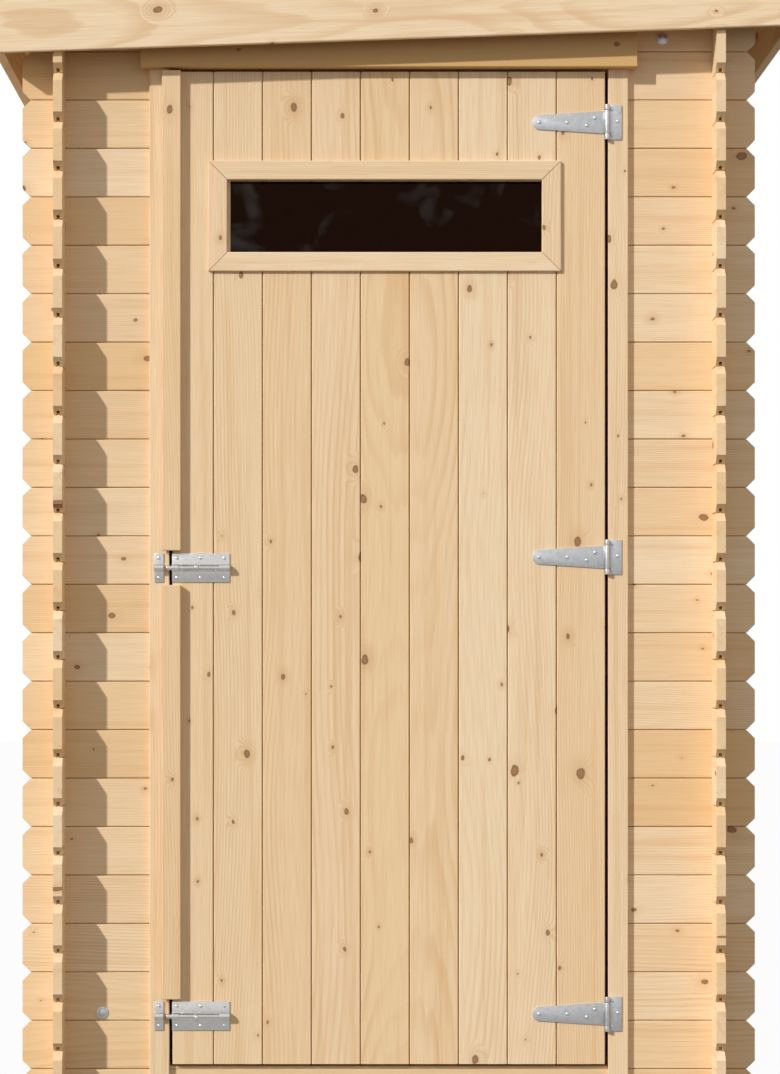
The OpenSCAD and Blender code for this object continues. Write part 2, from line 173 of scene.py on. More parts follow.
@dataclass(frozen=True)
class PlanedSpruce:
    """Planed spruce: pale flat-sawn faces with arched growth rings, small round knots and a soft sheen.

    Each board reads its own "grain" attribute, which is its place in the log that it was sawn from, and its
    "tone", which spreads the boards from pale cream to honey.
    """

    name: str = "planed_spruce"
    # The last tone is used only by the head trim: partly its own darker wood, partly painted shade from the
    # fascia over it.
    tones: tuple[str, ...] = ("f7dfbd", "f5dab4", "f1d0a2", "f4d6b0", "ecc896", "dab074")
    ring_tint: str = "dbb07c"
    knot_halo: str = "dbb080"
    knot_heart: str = "9c6f4a"
    knot_rim: str = "543520"
    streak_tint: str = "dfb27c"
    fibre_tint: str = "dab07c"
    ring_width: float = 3.4 * MM
    knot_share: float = 0.52
    roughness: float = 0.62

    def build(self) -> bpy.types.Material:
        """Returns the wood material."""
        material, tree, shader = new_material(self.name)
        place = add_node(tree, "Attribute", attribute_name="grain").outputs["Vector"]
        tone = add_node(tree, "Attribute", attribute_name="tone").outputs["Fac"]
        knot_body, knot_rim, knot_halo = self._knots(tree, place)
        rings = self._rings(tree, place, knot_halo)
        fibre = self._noise(tree, place, (14.0, 520.0, 520.0), detail=3.0)
        streak = self._noise(tree, place, (1.6, 60.0, 60.0), detail=2.0)
        stops = [(i / (len(self.tones) - 1), linear(t)) for i, t in enumerate(self.tones)]
        ground = add_node(tree, "ValToRGB", {"Fac": tone})
        set_ramp(ground, stops)
        colour = self._tint(tree, ground.outputs["Color"], rings, linear(self.ring_tint), 0.62)
        streaks = self._range(tree, streak, 0.5, 0.75, 0.0, 0.42)
        colour = self._tint(tree, colour, streaks, linear(self.streak_tint), 1.0)
        fibres = self._range(tree, fibre, 0.35, 0.75, 0.0, 0.34)
        colour = self._tint(tree, colour, fibres, linear(self.fibre_tint), 1.0)
        colour = self._tint(tree, colour, knot_halo, linear(self.knot_halo), 0.55)
        colour = self._tint(tree, colour, knot_body, linear(self.knot_heart), 0.9)
        colour = self._tint(tree, colour, knot_rim, linear(self.knot_rim), 1.0)
        tree.links.new(colour, shader.inputs["Base Color"])
        shader.inputs["Roughness"].default_value = self.roughness
        shader.inputs["Specular IOR Level"].default_value = 0.3
        height = maths(tree, "ADD", rings, fibre)
        bump = add_node(tree, "Bump", {"Strength": 0.22, "Distance": 0.4 * MM, "Height": height})
        tree.links.new(bump.outputs["Normal"], shader.inputs["Normal"])
        return material

    @staticmethod
    def _noise(tree: Tree, place: Socket, scale: tuple[float, float, float], detail: float) -> Socket:
        """Returns noise stretched along the board, with a scale in waves a metre for each direction."""
        moved = add_node(tree, "VectorMath", {0: place, 1: scale}, operation="MULTIPLY").outputs[0]
        return add_node(tree, "TexNoise", {"Vector": moved, "Scale": 1.0, "Detail": detail}).outputs["Fac"]

    @staticmethod
    def _range(tree: Tree, value: Socket, low: object, high: object, to_low: float, to_high: float) -> Socket:
        """Returns value moved smoothly from the range low to high to the range to_low to to_high."""
        inputs = {"Value": value, "From Min": low, "From Max": high, "To Min": to_low, "To Max": to_high}
        return add_node(tree, "MapRange", inputs, interpolation_type="SMOOTHSTEP").outputs["Result"]

    @staticmethod
    def _tint(tree: Tree, colour: Socket, mask: Socket, target: Colour, strength: float) -> Socket:
        """Returns colour moved towards target where mask is high."""
        factor = maths(tree, "MULTIPLY", mask, strength)
        return add_node(tree, "Mix", {0: factor, 6: colour, 7: target}, data_type="RGBA").outputs[2]

    def _knots(self, tree: Tree, place: Socket) -> tuple[Socket, ...]:
        """Returns masks for the body, the dark rim and the halo of the knots.

        Knots lie about 110 mm apart along a board, and only a share of those places holds one.
        """
        spread = add_node(tree, "VectorMath", {0: place, 1: (8.0, 11.5, 2.0)}, operation="MULTIPLY")
        cells = add_node(tree, "TexVoronoi", {"Vector": spread.outputs[0], "Scale": 1.0},
                         voronoi_dimensions="2D")
        lot = add_node(tree, "SeparateColor", {"Color": cells.outputs["Color"]})
        here = maths(tree, "LESS_THAN", lot.outputs["Red"], self.knot_share)
        wobble = self._noise(tree, place, (90.0, 90.0, 90.0), detail=1.0)
        rough = maths(tree, "MULTIPLY", maths(tree, "SUBTRACT", wobble, 0.5), 0.05)
        distance = maths(tree, "ADD", cells.outputs["Distance"], rough)
        size = maths(tree, "MULTIPLY", maths(tree, "POWER", lot.outputs["Green"], 2.6), 0.06)
        radius = maths(tree, "ADD", size, 0.016)
        inner = maths(tree, "MULTIPLY", radius, 0.72)
        outer = maths(tree, "MULTIPLY", radius, 1.25)
        body = self._range(tree, distance, outer, inner, 0.0, 1.0)
        core = self._range(tree, distance, radius, maths(tree, "MULTIPLY", radius, 0.55), 0.0, 1.0)
        rim = maths(tree, "MULTIPLY", maths(tree, "SUBTRACT", body, core), 0.9)
        halo_reach = maths(tree, "ADD", maths(tree, "MULTIPLY", radius, 4.2), 0.05)
        halo = self._range(tree, distance, halo_reach, 0.0, 0.0, 1.0)
        halo = maths(tree, "MULTIPLY", halo, maths(tree, "ADD", lot.outputs["Blue"], 0.35))
        return tuple(maths(tree, "MULTIPLY", mask, here) for mask in (body, rim, halo))

    def _rings(self, tree: Tree, place: Socket, halo: Socket) -> Socket:
        """Returns the late wood of the growth rings, which bend round the knots."""
        axes = add_node(tree, "SeparateXYZ", {"Vector": place})
        wander = [
            add_node(tree, "TexNoise", {"W": axes.outputs["X"], "Scale": scale, "Detail": 1.0},
                     noise_dimensions="1D").outputs["Fac"]
            for scale in (0.55, 0.9)
        ]
        across = maths(tree, "ADD", axes.outputs["Y"], maths(tree, "MULTIPLY", wander[0], 0.05))
        deep = maths(tree, "ADD", axes.outputs["Z"], maths(tree, "MULTIPLY", wander[1], 0.045))
        squares = [maths(tree, "POWER", side, 2.0) for side in (across, deep)]
        radius = maths(tree, "SQRT", maths(tree, "ADD", squares[0], squares[1]))
        drift = self._noise(tree, place, (1.1, 20.0, 20.0), detail=2.0)
        radius = maths(tree, "ADD", radius, maths(tree, "MULTIPLY", drift, 0.008))
        radius = maths(tree, "ADD", radius, maths(tree, "MULTIPLY", halo, 0.012))
        turn = maths(tree, "FRACT", maths(tree, "DIVIDE", radius, self.ring_width))
        profile = add_node(tree, "ValToRGB", {"Fac": turn})
        grey = [(0.0, 0.06), (0.45, 0.1), (0.82, 0.9), (0.93, 0.75), (1.0, 0.06)]
        set_ramp(profile, [(at, (level, level, level, 1.0)) for at, level in grey])
        patches = self._noise(tree, place, (1.1, 14.0, 14.0), detail=1.0)
        strength = self._range(tree, patches, 0.35, 0.7, 0.25, 1.0)
        return maths(tree, "MULTIPLY", profile.outputs["Color"], strength)


@dataclass(frozen=True)
class SteelFinish:
    """Zinc on steel: soft grey with the small crystals of a zinc bath, or brighter where it is plated."""

    name: str
    light: str
    dark: str
    roughness: float
    crystal: float

    def build(self) -> bpy.types.Material:
        """Returns the metal material, with crystals as wide as the crystal field in metres."""
        material, tree, shader = new_material(self.name)
        place = object_place(tree)
        cells = add_node(tree, "TexVoronoi", {"Vector": place, "Scale": 1.0 / self.crystal})
        lot = add_node(tree, "SeparateColor", {"Color": cells.outputs["Color"]})
        cloud = add_node(tree, "TexNoise", {"Vector": place, "Scale": 45.0, "Detail": 3.0})
        mixed = maths(tree, "MULTIPLY", lot.outputs["Red"], cloud.outputs["Fac"])
        colour = add_node(tree, "ValToRGB", {"Fac": mixed})
        set_ramp(colour, [(0.05, linear(self.light)), (0.7, linear(self.dark))])
        gloss = add_node(tree, "MapRange", {
            "Value": cloud.outputs["Fac"], "From Min": 0.3, "From Max": 0.7,
            "To Min": self.roughness - 0.06, "To Max": self.roughness + 0.08,
        })
        shader.inputs["Metallic"].default_value = 1.0
        tree.links.new(colour.outputs["Color"], shader.inputs["Base Color"])
        tree.links.new(gloss.outputs["Result"], shader.inputs["Roughness"])
        bump = add_node(tree, "Bump", {
            "Strength": 0.08, "Distance": 0.2 * MM, "Height": cloud.outputs["Fac"],
        })
        tree.links.new(bump.outputs["Normal"], shader.inputs["Normal"])
        return material


@dataclass(frozen=True)
class MineralFelt:
    """Mineral felt: bitumen sheet with crushed slate pressed in, so it is matt, dark grey and gritty."""

    name: str = "mineral_felt"
    grit: float = 2.2 * MM

    def build(self) -> bpy.types.Material:
        """Returns the felt material, with grit a little coarser than the real 1 mm so that it shows."""
        material, tree, shader = new_material(self.name)
        place = object_place(tree)
        grains = add_node(tree, "TexVoronoi", {"Vector": place, "Scale": 1.0 / self.grit})
        lot = add_node(tree, "SeparateColor", {"Color": grains.outputs["Color"]})
        cloud = add_node(tree, "TexNoise", {"Vector": place, "Scale": 5.0, "Detail": 4.0})
        level = maths(tree, "MULTIPLY", lot.outputs["Red"], cloud.outputs["Fac"])
        colour = add_node(tree, "ValToRGB", {"Fac": level})
        set_ramp(colour, [(0.0, linear("26282b")), (0.35, linear("3b3e42")), (0.8, linear("6a6d70"))])
        tree.links.new(colour.outputs["Color"], shader.inputs["Base Color"])
        shader.inputs["Roughness"].default_value = 0.92
        bump = add_node(tree, "Bump", {
            "Strength": 0.6, "Distance": 0.8 * MM, "Height": lot.outputs["Red"],
        })
        tree.links.new(bump.outputs["Normal"], shader.inputs["Normal"])
        return material


@dataclass(frozen=True)
class SmokedSheet:
    """Clear acrylic sheet, tinted nearly black-brown as painted shade of the unlit room behind it, with a
    faint shine.
    """

    name: str = "acrylic_sheet"
    # Painted shade: the dark brown of the unlit room behind, given to the clear sheet as its own colour.
    tint: str = "4a3329"
    # Painted reflection: the two specular tints of the clouds that stand in for reflected smudges.
    sheen: tuple[str, str] = ("a87358", "fff0e6")

    def build(self) -> bpy.types.Material:
        """Returns the sheet material, with clouds of painted reflection in its specular tint."""
        material, tree, shader = new_material(self.name)
        place = object_place(tree)
        noise = {"Vector": place, "Scale": 13.0, "Detail": 7.0, "Distortion": 0.8}
        cloud = add_node(tree, "TexNoise", noise)
        # Painted reflection: a cloud of lighter specular tint stands in for reflections on the sheet.
        painted_reflection = add_node(tree, "ValToRGB", {"Fac": cloud.outputs["Fac"]})
        set_ramp(painted_reflection, [(0.56, linear(self.sheen[0])), (0.7, linear(self.sheen[1]))])
        shader.inputs["Base Color"].default_value = linear(self.tint)
        shader.inputs["Transmission Weight"].default_value = 1.0
        shader.inputs["IOR"].default_value = 1.4
        shader.inputs["Roughness"].default_value = 0.08
        shader.inputs["Specular IOR Level"].default_value = 0.25
        tree.links.new(painted_reflection.outputs["Color"], shader.inputs["Specular Tint"])
        return material


# ---------------------------------------------------------------- making boards and plates


def cut(board: Mesh, point: Vector, normal: Vector) -> None:
    """Saws off what lies beyond a plane and closes the cut.

    Args:
        board: the board to saw.
        point: a point on the plane.
        normal: the side that falls off.
    """
    geometry = board.verts[:] + board.edges[:] + board.faces[:]
    made = bmesh.ops.bisect_plane(board, geom=geometry, dist=1e-6, plane_co=point, plane_no=normal,
                                  clear_outer=True)
    rim = [e for e in made["geom_cut"] if isinstance(e, bmesh.types.BMEdge)]
    edges = [e for e in rim if e.is_valid and e.is_boundary]
    if edges:
        bmesh.ops.holes_fill(board, edges=edges, sides=0)


def extruded(points: Iterable[Sequence[float]], step: Sequence[float]) -> Mesh:
    """Returns a flat outline swept along a straight step.

    Args:
        points: corners of the outline, in order.
        step: how far it is swept.
    """
    solid = bmesh.new()
    face = solid.faces.new([solid.verts.new(point) for point in points])
    made = bmesh.ops.extrude_face_region(solid, geom=[face])
    moved = [v for v in made["geom"] if isinstance(v, bmesh.types.BMVert)]
    bmesh.ops.translate(solid, vec=step, verts=moved)
    return solid


def slab(low: Sequence[float], high: Sequence[float], bevel: float) -> Mesh:
    """Returns a box between two corners with eased edges."""
    box = bmesh.new()
    bmesh.ops.create_cube(box, size=1.0)
    low, high = Vector(low), Vector(high)
    bmesh.ops.scale(box, vec=high - low, verts=box.verts)
    bmesh.ops.translate(box, vec=(low + high) / 2, verts=box.verts)
    bmesh.ops.bevel(box, geom=box.edges[:], offset=bevel, segments=2, profile=0.5, affect="EDGES",
                    material=-1)
    return box


def bar(start: Sequence[float], end: Sequence[float], radius: float, bevel: float = 0.0,
        sides: int = 32) -> Mesh:
    """Returns a round bar between two points.

    Args:
        start: centre of the first end.
        end: centre of the last end.
        radius: radius of the bar.
        bevel: rounding of its two rims.
        sides: facets round the bar.
    """
    start, end = Vector(start), Vector(end)
    line = end - start
    rod = bmesh.new()
    bmesh.ops.create_cone(rod, cap_ends=True, segments=sides, radius1=radius, radius2=radius,
                          depth=line.length)
    if bevel > 0:
        rims = [e for e in rod.edges if abs(e.verts[0].co.z - e.verts[1].co.z) < 1e-7]
        bmesh.ops.bevel(rod, geom=rims, offset=bevel, segments=3, profile=0.5, affect="EDGES", material=-1)
    turn = Vector((0, 0, 1)).rotation_difference(line).to_matrix().to_4x4()
    bmesh.ops.transform(rod, matrix=Matrix.Translation((start + end) / 2) @ turn, verts=rod.verts)
    return rod


def screw(centre: Sequence[float], radius: float = 3.4 * MM, height: float = 1.6 * MM) -> Mesh:
    """Returns a domed screw head standing on a surface that faces the door's front.

    Args:
        centre: the middle of the head on that surface.
        radius: radius of the head.
        height: how far it stands out.
    """
    head = bmesh.new()
    bmesh.ops.create_uvsphere(head, u_segments=20, v_segments=12, radius=radius)
    bmesh.ops.rotate(head, matrix=Matrix.Rotation(math.pi / 2, 3, "X"), verts=head.verts)
    bmesh.ops.scale(head, vec=(1, height / radius, 1), verts=head.verts)
    cut(head, Vector((0, 0, 0)), Vector((0, 1, 0)))
    bmesh.ops.translate(head, vec=Vector(centre), verts=head.verts)
    return head


@dataclass
class Joinery:
    """The shop that saws boards, bends plates and puts the finished pieces on the frame."""

    seed: int = 21
    ease: float = 1.2 * MM
    tone_spread: float = 0.8
    tongue: Pair = (2.4 * MM, 6.0 * MM)
    groove: Pair = (2.8 * MM, 7.0 * MM)
    materials: dict[Slot, bpy.types.Material] = field(default_factory=dict)

    def __post_init__(self) -> None:
        """Starts the seeded draws that spread the boards over the log."""
        self.draw = random.Random(self.seed)

    def log_place(self, heart: Optional[float] = None) -> Place:
        """Draws where in a log a board is sawn.

        Args:
            heart: how far the board lies from the pith, in metres, or nothing for any distance.

        Returns:
            The offset of the board in the log, and its tone.
        """
        depth = self.draw.uniform(0.012, 0.06) if heart is None else heart
        offset = Vector((self.draw.uniform(0, 60), self.draw.uniform(-0.075, 0.01), depth))
        return offset, self.tone_spread * self.draw.random()

    def mark_grain(self, board: Mesh, to_board: Matrix, place: Place) -> None:
        """Writes the grain and tone attributes of every vertex of one board.

        Args:
            board: the finished board, in the shed's frame.
            to_board: the matrix from the shed's frame to board space.
            place: the offset and tone from log_place.
        """
        grain = board.verts.layers.float_vector.new("grain")
        tone = board.verts.layers.float.new("tone")
        offset, shade = place
        for vert in board.verts:
            vert[grain] = to_board @ vert.co + offset
            vert[tone] = shade

    def _finish(self, board: Mesh, lay: Lay, cuts: Iterable[Cut], shear: Optional[Matrix],
                place: Optional[Place]) -> Mesh:
        """Saws a board with its cuts, marks its grain and lifts it on to the slope."""
        for point, normal in cuts:
            cut(board, point, normal)
        self.mark_grain(board, lay.matrix().inverted(), place or self.log_place())
        if shear is not None:
            bmesh.ops.transform(board, matrix=shear, verts=board.verts)
        return board

    def plank(self, low: Sequence[float], high: Sequence[float], lay: Lay, *,
              ease: Optional[float] = None, cuts: Iterable[Cut] = (), shear: Optional[Matrix] = None,
              place: Optional[Place] = None) -> Mesh:
        """Saws a plain board with eased edges.

        Args:
            low: lowest corner in the shed's frame.
            high: highest corner in the shed's frame.
            lay: how the board lies, for its grain.
            ease: radius of the edges, or the shop's own.
            cuts: planes to saw the board with, after easing.
            shear: a last matrix, such as the roof's slope.
            place: where it is sawn in the log, or nothing for a new draw.

        Returns:
            The finished board.
        """
        board = slab(low, high, self.ease if ease is None else ease)
        return self._finish(board, lay, cuts, shear, place)

    def tongued_board(self, length: Pair, cover: Pair, depth: Pair, lay: Lay, *,
                      groove: bool = True, tongue: bool = True, gap: float = 0.6 * MM,
                      cuts: Iterable[Cut] = (), shear: Optional[Matrix] = None,
                      place: Optional[Place] = None) -> Mesh:
        """Saws a board with a groove on its low edge and a tongue on its high edge.

        Args:
            length: the two ends along the board.
            cover: the two seams that it lies between.
            depth: its two faces.
            lay: how the board lies.
            groove: whether the low edge is grooved.
            tongue: whether the high edge has a tongue.
            gap: half of the open seam between two boards.
            cuts: planes to saw the board with, in the shed's frame.
            shear: a last matrix, such as the roof's slope.
            place: where it is sawn in the log, or nothing for a new draw.

        Returns:
            The finished board.
        """
        low, high = cover[0] + gap, cover[1] - gap
        near, far = depth
        middle = (near + far) / 2
        ease = self.ease
        tongue_half, tongue_high = self.tongue
        groove_half, groove_deep = self.groove
        outline = [(low + ease, near), (low, near + ease)]
        if groove:
            outline += [(low, middle - groove_half), (low + groove_deep, middle - groove_half),
                        (low + groove_deep, middle + groove_half), (low, middle + groove_half)]
        outline += [(low, far - ease), (low + ease, far), (high - ease, far), (high, far - ease)]
        if tongue:
            outline += [(high, middle + tongue_half), (high + tongue_high, middle + tongue_half),
                        (high + tongue_high, middle - tongue_half), (high, middle - tongue_half)]
        outline += [(high, near + ease), (high - ease, near)]
        points = [(length[0], across, deep) for across, deep in outline]
        board = extruded(points, (length[1] - length[0], 0, 0))
        bmesh.ops.transform(board, matrix=lay.matrix(), verts=board.verts)
        bmesh.ops.recalc_face_normals(board, faces=board.faces)
        return self._finish(board, lay, cuts, shear, place)

    def row_of_boards(self, length: Pair, spread: Pair, count: int, depth: Pair, lay: Lay,
                      shear: Optional[Matrix] = None) -> list[Mesh]:
        """Lays tongued boards side by side.

        Args:
            length: the two ends of every board.
            spread: the two outer edges of the row.
            count: how many boards there are.
            depth: their two faces.
            lay: how they lie.
            shear: a last matrix, such as the roof's slope.
        """
        cover = (spread[1] - spread[0]) / count
        return [
            self.tongued_board(length, (spread[0] + i * cover, spread[0] + (i + 1) * cover), depth, lay,
                               groove=i > 0, tongue=i < count - 1, shear=shear)
            for i in range(count)
        ]

    def place_piece(self, name: str, parts: Iterable[Mesh], slot: Slot, body: str,
                    replaces: Sequence[str] = (), smooth: bool = False) -> bpy.types.Object:
        """Joins parts to one piece, dresses it and puts it on the frame.

        Args:
            name: the piece's name.
            parts: the boards or plates, which are used up.
            slot: its material slot.
            body: the body that it rides on.
            replaces: the nodes that it stands for.
            smooth: whether its round faces are shaded smooth.

        Returns:
            The new object.
        """
        whole = bmesh.new()
        for part in parts:
            scratch = bpy.data.meshes.new("scratch")
            part.to_mesh(scratch)
            part.free()
            whole.from_mesh(scratch)
            bpy.data.meshes.remove(scratch)
        bmesh.ops.recalc_face_normals(whole, faces=whole.faces)
        mesh = bpy.data.meshes.new(name)
        whole.to_mesh(mesh)
        count = len(whole.faces)
        whole.free()
        mesh.materials.append(self.materials[slot])
        piece = bpy.data.objects.new(name, mesh)
        bpy.context.scene.collection.objects.link(piece)
        if smooth:
            mesh.shade_smooth()
            mesh.set_sharp_from_angle(angle=math.radians(32))
        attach(piece, body)
        if replaces:
            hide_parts(*replaces)
        LOG.info("%s: %d faces on %s", name, count, body)
        return piece


# ---------------------------------------------------------------- walls


@dataclass
class Roofline:
    """The sloping underside of the roof boards, read from the deck."""

    deck_thickness: float = 16 * MM

    def __post_init__(self) -> None:
        """Reads the slope from the box of the roof deck."""
        low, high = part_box("roof_deck")
        self.start = Vector((low.x, 0, low.z))
        self.rise = (high.z - self.deck_thickness - low.z) / (high.x - low.x)

    def under(self, x: float) -> float:
        """Returns the height of the underside at x."""
        return self.start.z + (x - self.start.x) * self.rise

    def plane(self, down: float = 0.2 * MM) -> Cut:
        """Returns a sawing plane just under the roof boards."""
        return self.start - Vector((0, 0, down)), Vector((-self.rise, 0, 1)).normalized()

    def shear(self) -> Matrix:
        """Returns the matrix that lifts level boards on to the slope, from the underside up."""
        lifted = Matrix.Identity(4)
        lifted[2][0] = self.rise
        lifted[2][3] = self.under(0.0)
        return lifted


@dataclass
class Walls:
    """Four walls of tongued boards that cross at the corners."""

    shop: Joinery
    roof: Roofline
    cover: float = 86 * MM
    stagger: float = 38.5 * MM
    end_cut: float = 15 * MM

    def __post_init__(self) -> None:
        """Reads the heights that all walls share."""
        self.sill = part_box("front_sill_board")[1].z
        self.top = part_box("right_wall")[1].z

    def _seams(self, first: float, top: float) -> list[float]:
        """Returns the seams from the ground to just over top."""
        seams = [0.0]
        seam = first
        while seam < top:
            seams.append(seam)
            seam += self.cover
        return seams + [seam]

    def _end_cuts(self, lay: Lay, end: float, seams: Pair, first: bool) -> list[Cut]:
        """Returns the planes that take the corners off one end of a board.

        Args:
            lay: how the board lies.
            end: place of the end along the board.
            seams: the seams under and over the board.
            first: whether it is the board on the ground, whose lower corner stays.
        """
        turn = lay.matrix().to_3x3()
        side = math.copysign(1.0, end)
        cuts = []
        if not first:
            cuts.append((Vector((end, seams[0] + self.end_cut, 0)), Vector((side, -1, 0))))
        cuts.append((Vector((end, seams[1] - self.end_cut, 0)), Vector((side, 1, 0))))
        return [(turn @ point, (turn @ normal).normalized()) for point, normal in cuts]

    def _stack(self, node: str, lay: Lay, length: Pair, depth: Pair,
               seams: Sequence[float], free_ends: tuple[bool, bool] = (True, True)) -> None:
        """Builds one wall as a stack of boards.

        Args:
            node: the node that it stands for.
            lay: how the boards lie.
            length: the two ends.
            depth: the two faces.
            seams: the seams from low to high.
            free_ends: whether each end is a free board end with cut corners.
        """
        boards = []
        for low, high in zip(seams, seams[1:]):
            cuts = [self.roof.plane()] if high > self.roof.start.z - 0.1 else []
            if low >= self.top:
                continue
            for end, free in zip(length, free_ends):
                if free:
                    cuts += self._end_cuts(lay, end, (low, high), first=low == 0.0)
            board = self.shop.tongued_board(length, (low, high), depth, lay, groove=low > 0, cuts=cuts)
            if board.faces:
                boards.append(board)
        self.shop.place_piece(f"{node}.boards", boards, Slot.SPRUCE, "shed", [node])

    def build(self) -> None:
        """Builds every wall."""
        low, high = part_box("front_sill_board")
        depth = (low.y, high.y)
        self._stack("front_sill_board", Lay.FRONT, (low.x, high.x), depth, [0.0, self.sill])
        left_low, left_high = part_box("front_wall_left")
        seams = self._seams(self.sill, left_high.z - 1 * MM)[1:]
        self._stack("front_wall_left", Lay.FRONT, (left_low.x, left_high.x), depth, seams, (True, False))
        self._stack("front_wall_right", Lay.FRONT, (-left_high.x, -left_low.x), depth, seams, (False, True))
        self._head(depth, seams[-1])
        low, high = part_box("back_wall")
        back_seams = self._seams(self.sill, self.top)
        self._stack("back_wall", Lay.FRONT, (low.x, high.x), (low.y, high.y), back_seams)
        side_seams = self._seams(self.sill + self.stagger, self.top)
        for node in ("left_wall", "right_wall"):
            low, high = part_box(node)
            self._stack(node, Lay.SIDE, (low.y, high.y), (low.x, high.x), side_seams)

    def _head(self, depth: Pair, seam: float) -> None:
        """Builds the boards over the doorway, with the narrow board over the lining."""
        low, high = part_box("front_wall_head")
        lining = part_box("head_door_lining")
        strip = (lining[0].x, depth[0], lining[1].z), (lining[1].x, depth[1], seam)
        boards = [self.shop.plank(*strip, Lay.FRONT)]
        while seam < high.z:
            cuts = [self.roof.plane()]
            for end in (low.x, high.x):
                cuts += self._end_cuts(Lay.FRONT, end, (seam, seam + self.cover), first=False)
            seams = (seam, seam + self.cover)
            boards.append(self.shop.tongued_board((low.x, high.x), seams, depth, Lay.FRONT, cuts=cuts))
            seam += self.cover
        self.shop.place_piece("front_wall_head.boards", boards, Slot.SPRUCE, "shed", ["front_wall_head"])


# ---------------------------------------------------------------- trims, floor and roof


@dataclass
class Trims:
    """The trims and linings round the doorway and the battens behind the front wall."""

    shop: Joinery

    def build(self) -> None:
        """Builds each trim as one planed board."""
        lays = {
            "left_jamb_trim": Lay.UPRIGHT, "right_jamb_trim": Lay.UPRIGHT, "head_trim": Lay.FRONT,
            "left_door_lining": Lay.UPRIGHT_SIDE, "right_door_lining": Lay.UPRIGHT_SIDE,
            "head_door_lining": Lay.DECK, "threshold_strip": Lay.DECK,
            "left_storm_batten": Lay.UPRIGHT, "right_storm_batten": Lay.UPRIGHT,
        }
        for node, lay in lays.items():
            low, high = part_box(node)
            offset, tone = self.shop.log_place()
            # The head trim takes tone 1.0, the darkest: partly its own darker wood, partly painted shade from
            # the fascia over it.
            board = self.shop.plank(low, high, lay, place=(offset, 1.0 if node == "head_trim" else tone))
            self.shop.place_piece(f"{node}.board", [board], Slot.SPRUCE, "shed", [node])


@dataclass
class Floor:
    """Tongued floor boards on three joists."""

    shop: Joinery
    boards: int = 13

    def build(self) -> None:
        """Builds the floor and its joists."""
        low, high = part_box("floor_boards")
        rows = self.shop.row_of_boards((low.y, high.y), (low.x, high.x), self.boards, (low.z, high.z),
                                       Lay.FLOOR)
        self.shop.place_piece("floor_boards.boards", rows, Slot.SPRUCE, "shed", ["floor_boards"])
        low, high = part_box("floor_joists")
        width = 45 * MM
        joists = [
            self.shop.plank((low.x, y - width / 2, low.z), (high.x, y + width / 2, high.z), Lay.DECK)
            for y in (low.y + width / 2, 0.0, high.y - width / 2)
        ]
        self.shop.place_piece("floor_joists.bars", joists, Slot.JOIST, "shed", ["floor_joists"])


@dataclass
class Roof:
    """A sloping deck of tongued boards with purlins, fascia and eave boards, and felt on top."""

    shop: Joinery
    line: Roofline
    deck_boards: int = 11
    height: float = 92 * MM
    felt: float = 2.5 * MM
    bed: float = 0.2 * MM
    purlin_width: float = 34 * MM
    purlin_height: float = 60 * MM
    nail_pitch: float = 90 * MM
    nail_inset: float = 14 * MM
    lap: float = 35 * MM
    edge_tone: float = 0.05

    def build(self) -> None:
        """Builds every piece of the roof level and shears it on to the slope."""
        shear = self.line.shear()
        deck = self.line.deck_thickness
        low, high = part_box("roof_deck")
        rows = self.shop.row_of_boards((low.x, high.x), (low.y, high.y), self.deck_boards, (0.0, deck),
                                       Lay.DECK, shear)
        self.shop.place_piece("roof_deck.boards", rows, Slot.SPRUCE, "shed", ["roof_deck"])
        edges = {"front_fascia": Lay.FRONT, "back_fascia": Lay.FRONT, "left_eave_board": Lay.SIDE,
                 "right_eave_board": Lay.SIDE}
        for node, lay in edges.items():
            low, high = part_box(node)
            place = (self.shop.log_place(heart=0.022)[0], self.edge_tone)
            board = self.shop.plank((low.x, low.y, deck - self.height), (high.x, high.y, deck), lay,
                                    ease=2 * MM, shear=shear, place=place)
            self.shop.place_piece(f"{node}.board", [board], Slot.SPRUCE, "shed", [node])
        low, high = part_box("roof_purlins")
        bars = [
            self.shop.plank((x, low.y, -self.purlin_height), (x + self.purlin_width, high.y, -self.bed),
                            Lay.SIDE, shear=shear)
            for x in (low.x, high.x - self.purlin_width)
        ]
        self.shop.place_piece("roof_purlins.bars", bars, Slot.SPRUCE, "shed", ["roof_purlins"])
        self._felt(shear, deck + self.bed)

    def _felt(self, shear: Matrix, base: float) -> None:
        """Builds the felt sheet with its lap in the middle and a row of clout nails round the edge."""
        low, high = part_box("roof_felt")
        sheets = [
            self.shop.plank((low.x, start, base + under), (high.x, end, base + under + self.felt), Lay.DECK,
                            ease=0.8 * MM, shear=shear)
            for start, end, under in ((low.y, self.lap, 0.0), (-self.lap, high.y, self.felt))
        ]
        self.shop.place_piece("roof_felt.sheets", sheets, Slot.FELT, "shed", ["roof_felt"])
        left, right = low.x + self.nail_inset, high.x - self.nail_inset
        front, back = low.y + self.nail_inset, high.y - self.nail_inset
        along = round((right - left) / self.nail_pitch)
        across = round((back - front) / self.nail_pitch)
        spots = [(left + i * (right - left) / along, y) for y in (front, back) for i in range(along + 1)]
        spots += [(x, front + i * (back - front) / across) for x in (left, right) for i in range(1, across)]
        nails = []
        for x, y in spots:
            bottom = Vector((x, y, base + (self.felt if y < -self.lap else 2 * self.felt)))
            nail = bar(bottom, bottom + Vector((0, 0, 0.9 * MM)), 5 * MM, 0.3 * MM, sides=12)
            bmesh.ops.transform(nail, matrix=shear, verts=nail.verts)
            nails.append(nail)
        self.shop.place_piece("roof_felt.nails", nails, Slot.GALVANISED, "shed")


# ---------------------------------------------------------------- door


